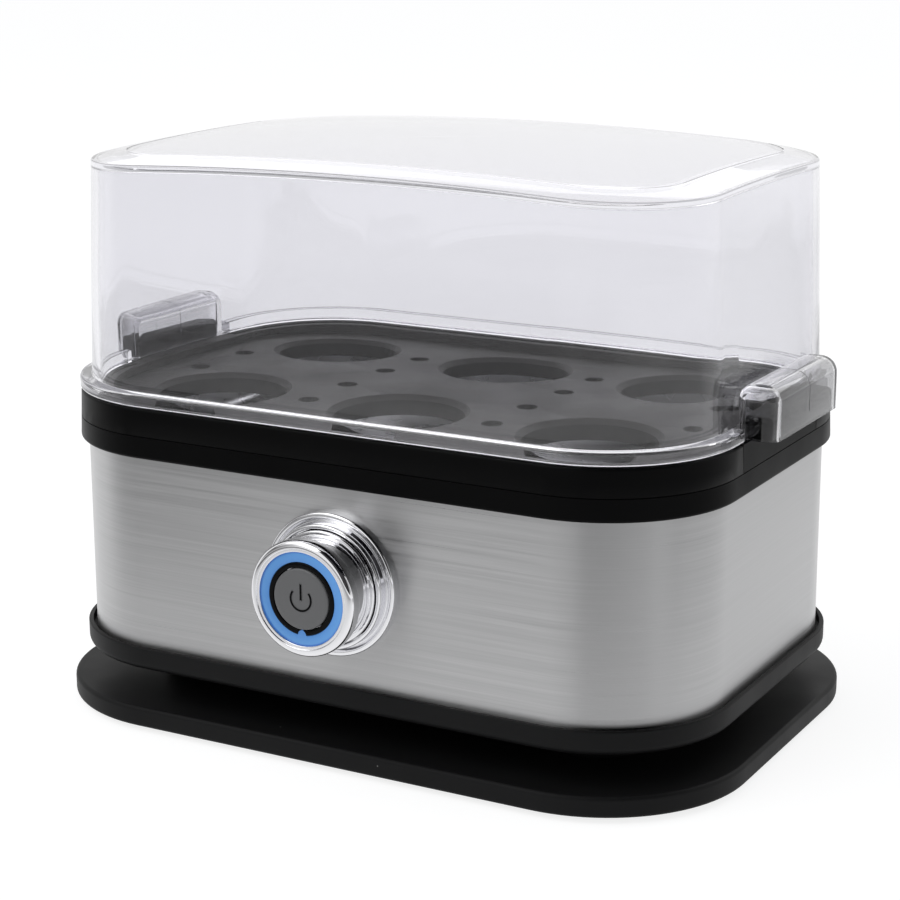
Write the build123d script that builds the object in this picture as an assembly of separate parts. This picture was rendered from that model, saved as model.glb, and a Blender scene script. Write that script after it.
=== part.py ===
from build123d import *
import math
import os

# Electric egg cooker for six eggs, in millimetres.
# X runs along the long side, the knob faces -Y, Z is up, and Z = 0 is the surface it stands on.
# Every level of the body is the steel sleeve's plan outline, grown or shrunk by a named amount.
# The pieces are drawn about the sleeve's middle, then moved so that the origin is the middle
# of the whole footprint, knob included.

# Plan outline of the steel sleeve
body_length = 198.0
body_depth = 136.0
corner_radius = 36.0

# Heights of what is stacked from the table up
foot_proud = 1.5
plate_thickness = 6.0
channel_height = 9.2
skirt_height = 7.0
sleeve_shown = 55.9
lower_band_height = 6.3
upper_band_height = 8.1
lid_height = 71.2

# How far each level stands out from the sleeve's outline, or in from it
plate_grow = 7.0
skirt_grow = 2.5
band_grow = 2.3
band_draft = 0.6
flange_grow = 2.0
neck_inset = 20.0

# Clearances
slip_gap = 0.3
seat_gap = 0.3
screw_gap = 0.1
running_gap = 0.06
seam_gap = 0.25
seam_recess = 0.75

# Screw heads, as shares of the head's diameter
recess_span = 0.55
recess_slot = 0.14
pan_height = 0.4
pan_flat = 0.7

# Base plate, its feet and its screws
plate_wall = 3.0
plate_deck = 2.4
plate_rib = 2.0
plate_edge_round = 1.2
foot_diameter = 14.0
foot_sunk = 1.2
foot_seat_wall = 2.2
foot_inset = 15.0
foot_round = 0.75
base_screw_x = 62.0
base_screw_y = 33.0
base_screw_diameter = 3.4
base_screw_head = 7.2
base_screw_length = 12.0
screw_land = 2.4

# Inner housing
housing_wall = 2.0
floor_thickness = 2.5
neck_wall = 2.4
skirt_rim_wall = 1.3
skirt_groove_depth = 2.5
skirt_round = 2.6
skirt_rim_round = 0.4
boss_diameter = 8.0
post_diameter = 10.0
post_inset = 7.7
post_height = 20.8
post_screw_length = 30.0
post_screw_recess = 3.2
cable_hole = 12.0
cable_hole_y = 20.0

# Steel sleeve
sleeve_thickness = 0.8

# Collars round the top of the body
deck_thickness = 2.0
collar_ledge = 5.0
collar_wall = 6.8
ledge_thickness = 1.5
band_round = 0.9

# Water basin and its seal
basin_sheet = 0.8
basin_depth = 15.0
basin_floor_round = 5.0
basin_rim_under_ledge = 2.75
seal_thickness = 0.6
basin_inset = 13.0

# Heating element and what is fixed under the basin
element_diameter = 6.6
element_length = 104.0
element_width = 52.0
element_end_spread = 24.0
element_drop = 14.0
element_bend = 18.0
element_end_bend = 8.0
spreader_thickness = 2.0
spreader_margin = 5.0
thermostat_diameter = 17.0
thermostat_height = 7.0
thermostat_ears = 34.0
thermostat_ear_width = 8.0
thermostat_ear_thickness = 1.0
fuse_diameter = 4.0
fuse_length = 13.0
fuse_y = 16.0
fuse_clip_wall = 0.6
fuse_clip_width = 5.0

# Egg tray
egg_pitch_x = 59.0
egg_pitch_y = 64.0
egg_columns = 3
seat_diameter = 37.0
seat_flare = 1.6
seat_ring_wall = 1.6
seat_ring_depth = 6.5
tray_height = 3.3
tray_plate = 2.0
tray_rim_height = 2.7
tray_rim_width = 2.4
tray_wall = 1.8
steam_hole = 6.0
steam_row_inner = 11.0
steam_end_x = 81.0
steam_end_y = 12.0

# Grips of the tray and handles of the lid, one of each in the middle of each end
panel_length = 54.4
handle_length = 48.0
handle_reach = 7.3
handle_height = 14.6
handle_wall = 1.8
handle_round = 4.5
handle_end_round = 2.5
grip_height = 6.0
grip_round = 1.5

# Clear lid
lid_wall = 2.0
lid_foot_inset = 1.3
lid_draft = 2.4
lid_crown_radius = 1200.0
lid_bevel_width = 10.0
lid_bevel_drop = 1.2
flange_thickness = 3.6
flange_round = 1.5

# Knob, measured out from the sleeve's front face
bezel_diameter = 40.4
bezel_lip = 2.6
bezel_lip_width = 1.4
bezel_edge = 0.8
bezel_valley = 1.5
bezel_ring_diameter = 35.0
bezel_ring_height = 5.2
bezel_floor = 1.0
hub_diameter = 21.0
hub_past_nut = 0.6
nut_thickness = 3.6
nut_across = 27.0
knob_diameter = 29.6
knob_base_diameter = 32.0
knob_base_top = 5.9
knob_base_edge = 0.5
knob_raise = 0.75
knob_rim_diameter = 32.2
knob_rim_width = 4.6
knob_rim_step = 0.5
knob_rim_round = 1.0
knob_proud = 17.0
knob_shell = 1.9
knob_web = 2.0
knob_face_depth = 3.4
shaft_diameter = 14.0
shaft_bore = 9.4
shaft_short = 1.0
light_diameter = 26.0
light_sunk = 0.8
inner_ring_diameter = 20.4
inner_ring_sunk = 0.6
pointer_width = 2.6
button_diameter = 17.0
button_gap = 0.2
button_travel = 1.5
button_sunk = 0.4
button_thickness = 4.0
button_round = 0.5
stem_diameter = 8.4

# Control board behind the knob
board_length = 76.0
board_height = 34.0
board_thickness = 1.6
board_face = 15.0
board_drop = 4.9
standoff_diameter = 6.0
board_screw_x = 33.0
board_screw_z = 12.5
board_screw_diameter = 2.6
board_screw_head = 5.0
board_screw_length = 8.0
sensor_size = 26.0
sensor_thickness = 6.0
sensor_corner = 2.6
switch_size = 6.0
switch_height = 3.8
switch_floor = 0.6
plunger_diameter = 3.4
plunger_length = 3.0
plunger_stands = 1.8
relay_length = 19.0
relay_width = 15.0
relay_height = 14.0
relay_round = 0.6
relay_x = -20.0
buzzer_diameter = 12.0
buzzer_height = 8.0
buzzer_hole = 2.4
buzzer_x = 22.0

# Mains side: terminal block on the floor, gland in the neck's back wall
terminal_length = 24.0
terminal_width = 14.0
terminal_height = 11.0
terminal_x = 20.0
terminal_y = 36.0
terminal_slots = 3
terminal_slot = 5.0
terminal_slot_height = 4.4
terminal_screw_hole = 4.0
terminal_screw_depth = 4.4
gland_x = 34.0
gland_diameter = 8.8
gland_core = 7.0
gland_bore = 6.0
gland_lip = 1.6

# Levels worked out from the heights
plate_bottom = foot_proud
plate_top = plate_bottom + plate_thickness
skirt_bottom = plate_top + channel_height
skirt_top = skirt_bottom + skirt_height
groove_floor = skirt_top - skirt_groove_depth
floor_top = skirt_bottom + floor_thickness
band_bottom = skirt_top + sleeve_shown
seam_level = band_bottom + lower_band_height
band_top = seam_level + upper_band_height
post_joint_level = floor_top + post_height
basin_flange_top = seam_level - screw_gap
basin_flange_bottom = basin_flange_top - basin_sheet
deck_top = basin_flange_bottom - seal_thickness
deck_bottom = deck_top - deck_thickness
basin_floor_bottom = basin_flange_top - basin_depth - basin_sheet
spreader_bottom = basin_floor_bottom - spreader_thickness
ledge_top = seam_level + ledge_thickness
tray_foot = ledge_top + seat_gap
tray_top = tray_foot + tray_height
lid_bottom = band_top + seat_gap
lid_crest = lid_bottom + lid_height
knob_level = (skirt_top + band_bottom) / 2 + knob_raise

# Depths inside the knob, out from the sleeve's front face
button_back = knob_proud - button_sunk - button_thickness
button_well_floor = button_back - button_travel - slip_gap
stem_end = switch_height + plunger_stands - board_face

# Plan amounts worked out from the clearances
front_face = -body_depth / 2
end_face = body_length / 2
housing_inset = sleeve_thickness + slip_gap
cavity_inset = housing_inset + housing_wall
well_inset = collar_wall - band_grow
ledge_inset = well_inset + collar_ledge
rim_inset = ledge_inset - basin_rim_under_ledge
tray_inset = well_inset + slip_gap
post_swing = (corner_radius - post_inset) / math.sqrt(2)
post_x = body_length / 2 - corner_radius + post_swing
post_y = body_depth / 2 - corner_radius + post_swing
foot_swing = (corner_radius + plate_grow - foot_inset) / math.sqrt(2)
foot_x = body_length / 2 - corner_radius + foot_swing
foot_y = body_depth / 2 - corner_radius + foot_swing


def outline(grow):
    """Plan outline of the sleeve, grown outwards by so much."""
    length = body_length + 2 * grow
    depth = body_depth + 2 * grow
    return RectangleRounded(length, depth, corner_radius + grow)


def slab(grow, low, high):
    """Upright prism of the grown outline between two levels."""
    return Pos(0, 0, low) * extrude(outline(grow), amount=high - low)


def rounded_slab(grow, low, high, top=0.0, bottom=0.0):
    """Prism of the grown outline whose upper and lower edges are rounded."""
    solid = slab(grow, low, high)
    if top:
        solid = fillet(solid.edges().group_by(Axis.Z)[-1], top)
    if bottom:
        solid = fillet(solid.edges().group_by(Axis.Z)[0], bottom)
    return solid


def band_form(low, high, top=0.0, bottom=0.0):
    """Part of the black band's solid form between two levels, drafted, with its edges rounded."""
    rise = band_top - band_bottom
    grows = [band_grow - band_draft * (level - band_bottom) / rise for level in (low, high)]
    solid = loft([Pos(0, 0, low) * outline(grows[0]), Pos(0, 0, high) * outline(grows[1])])
    if top:
        solid = fillet(solid.edges().group_by(Axis.Z)[-1], top)
    if bottom:
        solid = fillet(solid.edges().group_by(Axis.Z)[0], bottom)
    return solid


def block(x_low, x_high, y_low, y_high, z_low, z_high):
    """Box between three pairs of limits."""
    middle = Pos((x_low + x_high) / 2, (y_low + y_high) / 2, (z_low + z_high) / 2)
    return middle * Box(x_high - x_low, y_high - y_low, z_high - z_low)


def rod(diameter, low, high, x=0.0, y=0.0):
    """Upright round bar between two levels."""
    return Pos(x, y, (low + high) / 2) * Cylinder(diameter / 2, high - low)


def four_ways(x, y):
    """The four places that mirror one place in plan."""
    return [(sx * x, sy * y) for sx in (-1, 1) for sy in (-1, 1)]


def turned(points):
    """Ring or disc turned about Z from its half section, as radius and height."""
    return revolve(Plane.XZ * make_face(Polyline(*points, close=True)), Axis.Z)


def at_front(shape, z_offset=0.0):
    """Place a shape built along Z so that it stands out of the front face at the knob."""
    return Pos(0, front_face, knob_level + z_offset) * Rot(90, 0, 0) * shape


def countersunk_screw(diameter, head, length):
    """Screw pointing up, with the flat of its head at Z = 0 and a cross recess in it."""
    slope = (head - diameter) / 2
    profile = [(0, 0), (head / 2, 0), (diameter / 2, slope), (diameter / 2, length), (0, length)]
    slot = Box(head * recess_span, head * recess_slot, slope)
    return turned(profile) - (slot + Rot(0, 0, 90) * slot)


def pan_screw(diameter, head, length):
    """Screw pointing up from the seat of its head at Z = 0."""
    head_height = head * pan_height
    profile = [
        (0, -head_height),
        (head * pan_flat / 2, -head_height),
        (head / 2, -head_height / 2),
        (head / 2, 0),
        (diameter / 2, 0),
        (diameter / 2, length),
        (0, length),
    ]
    slot = Box(head * recess_span, head * recess_slot, head_height)
    recess = Pos(0, 0, -head_height) * (slot + Rot(0, 0, 90) * slot)
    return turned(profile) - recess


# Base
def base_plate():
    """Foot plate: a shallow pan open downwards, ribbed, with foot seats and screw wells."""
    plate = rounded_slab(plate_grow, plate_bottom, plate_top, plate_edge_round, plate_edge_round)
    ceiling = plate_top - plate_deck
    pocket = slab(plate_grow - plate_wall, plate_bottom, ceiling)
    rib_low = plate_bottom + screw_gap
    half_length = end_face + plate_grow - plate_wall
    half_depth = -front_face + plate_grow - plate_wall
    ribs = block(-half_length, half_length, -plate_rib / 2, plate_rib / 2, rib_low, ceiling)
    for x in (-base_screw_x, 0, base_screw_x):
        ribs += block(x - plate_rib / 2, x + plate_rib / 2, -half_depth, half_depth, rib_low, ceiling)
    for x, y in four_ways(foot_x, foot_y):
        ribs += rod(foot_diameter + 2 * foot_seat_wall, plate_bottom, ceiling, x, y)
    for x, y in four_ways(base_screw_x, base_screw_y):
        ribs += rod(base_screw_head + 2 * screw_land, plate_bottom, ceiling, x, y)
    plate = plate - (pocket - ribs)
    for x, y in four_ways(foot_x, foot_y):
        plate -= rod(foot_diameter + 2 * screw_gap, plate_bottom, plate_bottom + foot_sunk, x, y)
    seat = plate_top - screw_land
    for x, y in four_ways(base_screw_x, base_screw_y):
        plate -= rod(base_screw_diameter + 2 * screw_gap, plate_bottom, plate_top, x, y)
        sunk = base_screw_head + 2 * screw_gap
        slope = (sunk - base_screw_diameter - 2 * screw_gap) / 2
        cone = Pos(x, y, seat - slope / 2) * Cone(sunk / 2, sunk / 2 - slope, slope)
        plate -= cone + rod(sunk, plate_bottom, seat - slope, x, y)
    return plate


def rubber_feet():
    """Four pads with rounded lower edges."""
    feet = []
    for x, y in four_ways(foot_x, foot_y):
        foot = rod(foot_diameter, 0, plate_bottom + foot_sunk, x, y)
        feet.append(fillet(foot.edges().group_by(Axis.Z)[0], foot_round))
    return Compound(feet)


def base_screws():
    """Countersunk screws that hold the plate to the neck's bosses."""
    slope = (base_screw_head - base_screw_diameter) / 2
    seat = plate_top - screw_land - slope - screw_gap
    screw = countersunk_screw(base_screw_diameter, base_screw_head, base_screw_length)
    return Compound([Pos(x, y, seat) * screw for x, y in four_ways(base_screw_x, base_screw_y)])


# Body
def gland_place():
    """Middle of the neck's back wall where the mains gland sits, with Z turned to face the back."""
    neck_back = body_depth / 2 - neck_inset
    return Pos(gland_x, neck_back - neck_wall / 2, (plate_top + skirt_bottom) / 2) * Rot(-90, 0, 0)


def inner_housing():
    """Tub that carries everything: skirt rim, neck, wall behind the sleeve, posts and standoffs."""
    skirt = rounded_slab(skirt_grow, skirt_bottom, skirt_top, skirt_rim_round, skirt_round)
    skirt -= slab(skirt_grow - skirt_rim_wall, groove_floor, skirt_top)
    tub = skirt + slab(-housing_inset, skirt_bottom, deck_bottom)
    tub -= slab(-cavity_inset, floor_top, deck_bottom)
    tub += slab(-neck_inset, plate_top, skirt_bottom) - slab(-neck_inset - neck_wall, plate_top, skirt_bottom)
    for x, y in four_ways(base_screw_x, base_screw_y):
        tub += rod(boss_diameter, plate_top, floor_top, x, y)
        tub -= rod(base_screw_diameter + 2 * screw_gap, plate_top, floor_top, x, y)
    for x, y in four_ways(post_x, post_y):
        tub += rod(post_diameter, skirt_bottom, post_joint_level, x, y)
        tub -= rod(base_screw_diameter + 2 * screw_gap, skirt_bottom, post_joint_level, x, y)
        tub -= rod(base_screw_head + 2 * screw_gap, skirt_bottom, skirt_bottom + post_screw_recess, x, y)
    wall_back = front_face + cavity_inset
    board_back = front_face + board_face
    for x, z in four_ways(board_screw_x, board_screw_z):
        standoff = Pos(x, (wall_back + board_back) / 2, knob_level - board_drop + z)
        spacer = Rot(90, 0, 0) * Cylinder(standoff_diameter / 2, board_back - wall_back)
        pilot = Rot(90, 0, 0) * Cylinder(board_screw_diameter / 2 + screw_gap, board_back - wall_back)
        tub += standoff * spacer
        tub -= standoff * pilot
    tub -= at_front(rod(hub_diameter + 2 * slip_gap, -cavity_inset - slip_gap, 0))
    tub -= rod(cable_hole, skirt_bottom, floor_top, gland_x, cable_hole_y)
    return tub - gland_place() * Cylinder(gland_core / 2, neck_wall + screw_gap)


def collar_screws():
    """Long screws driven up through the floor into the lower collar's bosses."""
    screw = pan_screw(base_screw_diameter, base_screw_head, post_screw_length)
    seat = skirt_bottom + post_screw_recess
    return Compound([Pos(x, y, seat) * screw for x, y in four_ways(post_x, post_y)])


def steel_sleeve():
    """Brushed steel wrap that stands in the skirt's groove and ends under the lower collar."""
    wrap = slab(0, groove_floor, deck_bottom - screw_gap)
    wrap -= slab(-sleeve_thickness, groove_floor, deck_bottom - screw_gap)
    return wrap - at_front(rod(hub_diameter + 2 * slip_gap, -cavity_inset, slip_gap))


def lower_collar():
    """Lower half of the black band, with the deck that holds the basin and bosses for the long screws."""
    ring = band_form(band_bottom, seam_level, 0, band_round)
    ring -= slab(screw_gap, band_bottom, deck_bottom)
    ring -= slab(-rim_inset, deck_top, seam_level)
    ring -= slab(-basin_inset + slip_gap, deck_bottom, deck_top)
    for x, y in four_ways(post_x, post_y):
        ring += rod(boss_diameter, post_joint_level, deck_bottom, x, y)
        pilot_top = skirt_bottom + post_screw_recess + post_screw_length + slip_gap
        ring -= rod(base_screw_diameter + 2 * screw_gap, post_joint_level, pilot_top, x, y)
    return ring


def notch():
    """Opening in the upper band for one grip of the tray."""
    half = panel_length / 2
    outer = end_face + band_grow + slip_gap
    return block(end_face - well_inset, outer, -half, half, seam_level, band_top)


def upper_collar():
    """Upper half of the black band, with a ledge for the tray and a notch at each end."""
    ring = band_form(seam_level + seam_gap, band_top, band_round)
    ring += slab(band_grow - seam_recess, seam_level, ledge_top)
    ring -= slab(-well_inset, ledge_top, band_top)
    ring -= slab(-ledge_inset, seam_level, ledge_top)
    right, left = at_both_ends(notch())
    return ring - right - left


# Basin and heater
def water_basin():
    """Pressed steel dish with a flat rim."""
    dish = slab(-basin_inset, basin_floor_bottom, basin_flange_top)
    dish = fillet(dish.edges().group_by(Axis.Z)[0], basin_floor_round)
    inner_round = basin_floor_round - basin_sheet
    hollow = slab(-basin_inset - basin_sheet, basin_floor_bottom + basin_sheet, basin_flange_top)
    hollow = fillet(hollow.edges().group_by(Axis.Z)[0], inner_round)
    rim = slab(-rim_inset - slip_gap, basin_flange_bottom, basin_flange_top)
    return dish + rim - hollow


def basin_seal():
    """Flat silicone ring between the deck and the basin's rim."""
    ring = slab(-rim_inset - slip_gap, deck_top, basin_flange_bottom)
    return ring - slab(-basin_inset + slip_gap, deck_top, basin_flange_bottom)


def spreader_plate():
    """Aluminium plate that carries the heat from the element to the basin."""
    length = element_length + element_diameter + 2 * spreader_margin
    width = element_width + element_diameter + 2 * spreader_margin
    plate = RectangleRounded(length, width, element_diameter + spreader_margin)
    return Pos(0, 0, spreader_bottom) * extrude(plate, amount=spreader_thickness)


def heating_element():
    """Sheathed element bent to a loop, with both ends turned down side by side at the back."""
    level = spreader_bottom - element_diameter / 2
    half_x = element_length / 2
    half_y = element_width / 2
    end = element_end_spread / 2
    route = [
        (end, half_y, level - element_drop),
        (end, half_y, level),
        (half_x, half_y, level),
        (half_x, -half_y, level),
        (-half_x, -half_y, level),
        (-half_x, half_y, level),
        (-end, half_y, level),
        (-end, half_y, level - element_drop),
    ]
    bends = [element_end_bend, *[element_bend] * 4, element_end_bend]
    section = Pos(*route[0]) * Circle(element_diameter / 2)
    return sweep(section, path=FilletPolyline(*route, radius=bends))


def thermostat():
    """Snap disc thermostat with its fixing ears."""
    body = rod(thermostat_diameter, spreader_bottom - thermostat_height, spreader_bottom)
    ears = extrude(SlotOverall(thermostat_ears, thermostat_ear_width), amount=thermostat_ear_thickness)
    return body + Pos(0, 0, spreader_bottom - thermostat_ear_thickness) * ears


def thermal_fuse():
    """Cutout fuse held against the spreader by its clip."""
    axis = Pos(0, fuse_y, spreader_bottom - fuse_diameter / 2) * Rot(0, 90, 0)
    tube = axis * Cylinder(fuse_diameter / 2, fuse_length)
    half = fuse_diameter / 2 + fuse_clip_wall
    low = spreader_bottom - fuse_diameter - fuse_clip_wall
    half_width = fuse_clip_width / 2
    return tube + block(-half_width, half_width, fuse_y - half, fuse_y + half, low, spreader_bottom)


# Egg tray and lid
def column_places(pitch, count):
    """Evenly spaced places about the middle."""
    return [(i - (count - 1) / 2) * pitch for i in range(count)]


def seat_places():
    """Plan place of each egg seat."""
    columns = column_places(egg_pitch_x, egg_columns)
    return [(x, side * egg_pitch_y / 2) for x in columns for side in (-1, 1)]


def steam_places():
    """Steam holes between the seats and at the tray's ends."""
    between = column_places(egg_pitch_x, egg_columns - 1)
    rows = (egg_pitch_y / 2, steam_row_inner)
    places = [(x, side * y) for x in between for y in rows for side in (-1, 1)]
    return places + four_ways(steam_end_x, steam_end_y)


def grip():
    """End grip of the tray: a panel flush with the band, and a lip above it that fingers lift by."""
    half = panel_length / 2 - slip_gap
    outer = end_face + band_grow
    inner = end_face - tray_inset - tray_wall
    low = seam_level + seam_gap
    high = band_top - seat_gap
    solid = block(inner, outer, -half, half, tray_foot, high)
    solid += block(end_face - well_inset + slip_gap, outer, -half, half, low, high)
    solid &= band_form(low, high)
    lip_half = handle_length / 2 - handle_wall - 2 * slip_gap
    lip_inner = end_face - lid_foot_inset + slip_gap
    lip_outer = outer + handle_reach - handle_wall - 2 * slip_gap
    lip = block(lip_inner, lip_outer, -lip_half, lip_half, lid_bottom, lid_bottom + grip_height)
    lip = fillet(lip.edges().filter_by(Axis.Z), grip_round)
    lip = fillet(lip.edges().group_by(Axis.Z)[-1], grip_round)
    foot = block(lip_inner, outer - band_draft, -lip_half + grip_round, lip_half - grip_round, high, lid_bottom)
    return solid + lip + foot


def at_both_ends(shape):
    """One copy at the right end and one at the left end."""
    return shape, Rot(0, 0, 180) * shape


def egg_tray():
    """Moulded tray: plate, rims, six flared seats, steam holes and a grip at each end."""
    tray = slab(-tray_inset, tray_foot, tray_top)
    tray -= slab(-tray_inset - tray_wall, tray_foot, tray_top - tray_plate)
    rim = slab(-tray_inset, tray_top, tray_top + tray_rim_height)
    tray += rim - slab(-tray_inset - tray_rim_width, tray_top, tray_top + tray_rim_height)
    ring_bottom = tray_top - seat_ring_depth
    basin_mouth = slab(-basin_inset - basin_sheet - slip_gap, ring_bottom, tray_top)
    for x, y in seat_places():
        ring = rod(seat_diameter + 2 * seat_ring_wall, ring_bottom, tray_top, x, y)
        tray += ring & basin_mouth
    for x, y in seat_places():
        tray -= rod(seat_diameter, ring_bottom, tray_top, x, y)
        flare = Cone(seat_diameter / 2, seat_diameter / 2 + seat_flare, seat_flare)
        tray -= Pos(x, y, tray_top - seat_flare / 2) * flare
    for x, y in steam_places():
        tray -= rod(steam_hole, tray_top - tray_plate, tray_top, x, y)
    right, left = at_both_ends(grip())
    return tray + right + left


def lid_form(inset):
    """Closed form of the lid, drafted, crowned and bevelled, moved inwards by so much."""
    foot = Pos(0, 0, lid_bottom) * outline(-lid_foot_inset - inset)
    head = Pos(0, 0, lid_crest + lid_bevel_drop) * outline(-lid_foot_inset - lid_draft - inset)
    body = loft([foot, head])
    crown = Pos(0, 0, lid_crest - inset - lid_crown_radius) * Sphere(lid_crown_radius)
    body = body & crown
    top = body.faces().sort_by(Axis.Z)[-1]
    return chamfer(top.edges(), length=lid_bevel_width, length2=lid_bevel_drop, reference=top)


def handle_form(inset):
    """Closed form of a lid handle: an arch run along Y, moved inwards by so much."""
    inner = end_face - lid_foot_inset
    if not inset:
        inner -= lid_wall / 2
    outer = end_face + band_grow + handle_reach - inset
    top = lid_bottom + handle_height - inset
    half = handle_length / 2 - inset
    solid = block(inner, outer, -half, half, lid_bottom, top)
    ridges = solid.edges().filter_by(Axis.Y).group_by(Axis.Z)[-1]
    solid = fillet(ridges, handle_round - inset)
    ends = solid.faces().filter_by(Axis.Y)
    arches = [e for face in ends for e in face.edges() if e.center().Z > lid_bottom + screw_gap]
    return fillet(arches, handle_end_round - inset / 2)


def lid():
    """Clear lid: crowned shell, flange that rests on the band, and a hollow handle at each end."""
    shell = lid_form(0)
    flange_top = lid_bottom + flange_thickness
    flange = rounded_slab(flange_grow, lid_bottom, flange_top, flange_round, flange_round)
    half = panel_length / 2
    flange_end = end_face + flange_grow + slip_gap
    for opening in at_both_ends(block(end_face - lid_foot_inset, flange_end, -half, half, lid_bottom, flange_top)):
        flange -= opening
    shell += flange
    for handle in at_both_ends(handle_form(0)):
        shell += handle
    shell -= lid_form(lid_wall)
    for hollow in at_both_ends(handle_form(handle_wall)):
        shell -= hollow
    return shell


# Knob and button
def knob_bezel():
    """Fixed chrome bezel: lip, valley, raised ring, and the threaded hub that goes through the wall."""
    lip_radius = bezel_diameter / 2
    ring_radius = bezel_ring_diameter / 2
    bore = knob_base_diameter / 2 + slip_gap
    hub_end = -cavity_inset - nut_thickness - hub_past_nut
    points = [
        (shaft_diameter / 2 + running_gap, hub_end),
        (hub_diameter / 2, hub_end),
        (hub_diameter / 2, 0),
        (lip_radius, 0),
        (lip_radius, bezel_lip - bezel_edge),
        (lip_radius - bezel_edge, bezel_lip),
        (lip_radius - bezel_lip_width, bezel_lip),
        (lip_radius - bezel_lip_width - bezel_edge, bezel_valley),
        (ring_radius, bezel_valley),
        (ring_radius, bezel_ring_height - bezel_edge),
        (ring_radius - bezel_edge, bezel_ring_height),
        (bore, bezel_ring_height),
        (bore, bezel_floor),
        (shaft_diameter / 2 + running_gap, bezel_floor),
    ]
    return at_front(turned(points))


def bezel_nut():
    """Hexagon nut that clamps the bezel to the housing's front wall."""
    hexagon = RegularPolygon(nut_across / 2, 6, major_radius=False) - Circle(hub_diameter / 2)
    return at_front(Pos(0, 0, -cavity_inset - nut_thickness) * extrude(hexagon, amount=nut_thickness))


def knob_body():
    """Chrome knob shell with a pocket in its face and the hollow shaft that turns in the bezel."""
    rim = knob_rim_diameter / 2
    base = knob_base_diameter / 2
    body = knob_diameter / 2
    pocket = knob_proud - knob_face_depth
    well = button_well_floor
    ceiling = well - knob_web
    well_radius = button_diameter / 2 + button_gap
    shaft_end = shaft_short - board_face
    points = [
        (body - knob_shell, bezel_floor + slip_gap),
        (base, bezel_floor + slip_gap),
        (base, knob_base_top - knob_base_edge),
        (base - knob_base_edge, knob_base_top),
        (body, knob_base_top),
        (body, knob_proud - knob_rim_width),
        (rim - knob_rim_step, knob_proud - knob_rim_width),
        (rim, knob_proud - knob_rim_width + knob_rim_step),
        (rim, knob_proud - knob_rim_round),
        (rim - knob_rim_round, knob_proud),
        (light_diameter / 2, knob_proud),
        (light_diameter / 2, pocket),
        (well_radius, pocket),
        (well_radius, well),
        (shaft_bore / 2, well),
        (shaft_bore / 2, shaft_end),
        (shaft_diameter / 2, shaft_end),
        (shaft_diameter / 2, ceiling),
        (body - knob_shell, ceiling),
    ]
    return at_front(turned(points))


def face_ring(outer, inner, height):
    """Flat ring seated in the knob's face pocket."""
    ring = Circle(outer / 2) - Circle(inner / 2)
    return Pos(0, 0, knob_proud - knob_face_depth) * extrude(ring, amount=height)


def pointer():
    """Rounded pointer on the inside of the light ring, at its lowest point."""
    low = knob_proud - knob_face_depth
    return rod(pointer_width, low, knob_proud - light_sunk, 0, -inner_ring_diameter / 2)


def light_ring():
    """Translucent ring with the pointer."""
    return at_front(face_ring(light_diameter, inner_ring_diameter, knob_face_depth - light_sunk) + pointer())


def knob_inner_ring():
    """Black ring between the light and the button, cut away for the pointer."""
    bore = button_diameter + 2 * button_gap
    ring = face_ring(inner_ring_diameter, bore, knob_face_depth - inner_ring_sunk)
    cut = rod(pointer_width, 0, knob_proud, 0, -inner_ring_diameter / 2)
    return at_front(ring - cut)


def power_button():
    """Round push button in the middle of the knob, on a stem that runs through the shaft."""
    front = knob_proud - button_sunk
    back = front - button_thickness
    cap = rod(button_diameter, back, front)
    cap = fillet(cap.edges().group_by(Axis.Z)[-1], button_round)
    return at_front(cap + rod(stem_diameter, stem_end, back))


def switch_plunger():
    """Plunger of the push switch, which the stem presses."""
    return at_front(rod(plunger_diameter, stem_end - plunger_length, stem_end))


# Electrical parts
def push_switch():
    """Push switch on the board, inside the hollow shaft."""
    body = Pos(0, 0, switch_height / 2 - board_face) * Box(switch_size, switch_size, switch_height)
    well = rod(plunger_diameter + 2 * screw_gap, switch_floor - board_face, switch_height - board_face)
    return at_front(body - well)


def turn_sensor():
    """Hollow rotary sensor on the board, round the knob's shaft."""
    plate = RectangleRounded(sensor_size, sensor_size, sensor_corner)
    plate -= Circle(shaft_diameter / 2 + slip_gap)
    return at_front(Pos(0, 0, -board_face) * extrude(plate, amount=sensor_thickness))


def control_board():
    """Circuit board on four standoffs behind the knob."""
    board = extrude(Rectangle(board_length, board_height), amount=-board_thickness)
    for x, y in four_ways(board_screw_x, board_screw_z):
        board -= rod(board_screw_diameter + 2 * screw_gap, -board_thickness, 0, x, y)
    return at_front(Pos(0, 0, -board_face) * board, -board_drop)


def board_screws():
    """Four screws that hold the board to its standoffs."""
    screw = Pos(0, 0, -board_face - board_thickness)
    screw = screw * pan_screw(board_screw_diameter, board_screw_head, board_screw_length)
    places = four_ways(board_screw_x, board_screw_z)
    return Compound([at_front(Pos(x, z, 0) * screw, -board_drop) for x, z in places])


def relay():
    """Relay that switches the heater, on the back of the board."""
    height = -board_face - board_thickness - relay_height / 2
    case = Pos(relay_x, 0, height) * Box(relay_length, relay_width, relay_height)
    return at_front(fillet(case.edges().group_by(Axis.Z)[0], relay_round), -board_drop)


def buzzer():
    """Round sounder on the back of the board, with its sound hole."""
    top = -board_face - board_thickness
    case = rod(buzzer_diameter, top - buzzer_height, top, buzzer_x)
    hole = rod(buzzer_hole, top - buzzer_height, top - buzzer_height / 2, buzzer_x)
    return at_front(case - hole, -board_drop)


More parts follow.
